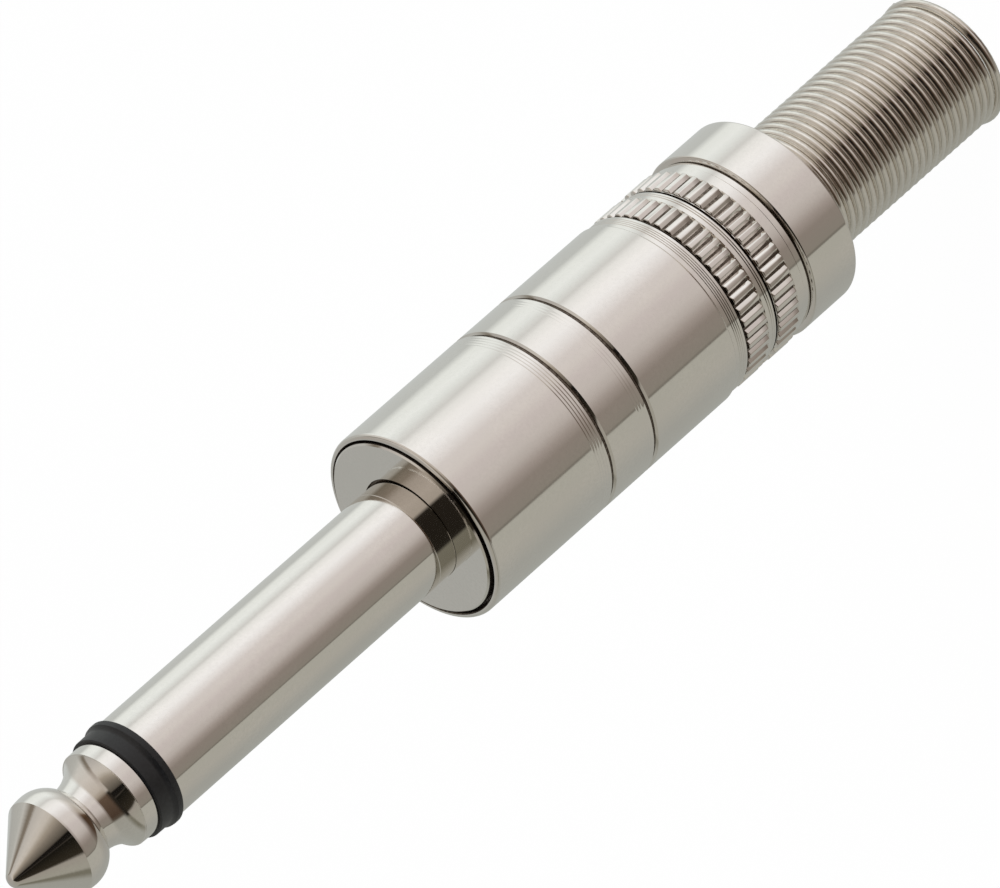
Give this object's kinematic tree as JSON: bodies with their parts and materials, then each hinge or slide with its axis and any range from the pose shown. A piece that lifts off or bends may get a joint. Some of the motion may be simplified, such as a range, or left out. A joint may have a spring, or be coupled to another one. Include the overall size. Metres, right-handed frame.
{
  "type": "mono jack plug",
  "caption": "Nickel-plated 6.35 mm mono jack plug with a screw-on metal shell, two turned grooves, two knurled bands and a coil spring strain relief.",
  "frame": {"origin": "centre of the spring's ground end, on the plug's axis", "axes": "+Z along the plug's axis, from the cable end to the tip"},
  "size_m": [0.012, 0.012, 0.0769],
  "materials": {
    "nickel": "polished nickel plate on brass",
    "spring_wire": "nickel-plated spring wire",
    "black_plastic": "semi-gloss black",
    "tube_plastic": "satin, off-white",
    "liner_plastic": "satin, milky",
    "fibre": "matt pressed fibre",
    "tinned_brass": "satin, tinned"
  },
  "bodies": {
    "shell": {"shell": "nickel"},
    "spring": {"strain_relief_spring": "spring_wire"},
    "liner": {"liner": "liner_plastic"},
    "core": {"collar": "nickel", "sleeve": "nickel", "tip_contact": "nickel", "tip_insulator": "black_plastic", "rod_tube": "tube_plastic", "ground_terminal": "tinned_brass", "rear_washer": "fibre", "tip_terminal": "tinned_brass"}
  },
  "joints": [
    {"name": "core_turn", "type": "hinge", "parent": "shell", "child": "spring", "pos_m": [0, 0, 0.0422], "axis": [0, 0, 1], "range_deg": [0, 1800]},
    {"name": "thread_rise", "type": "slide", "parent": "spring", "child": "liner", "axis": [0, 0, 1], "range_m": [0, 0.00375]},
    {"name": "pull_out", "type": "slide", "parent": "liner", "child": "core", "axis": [0, 0, 1], "range_m": [0, 0.026]}
  ],
  "couplings": [
    {"joint": "thread_rise", "follows": "core_turn", "m_per_rad": 0.00011937}
  ]
}
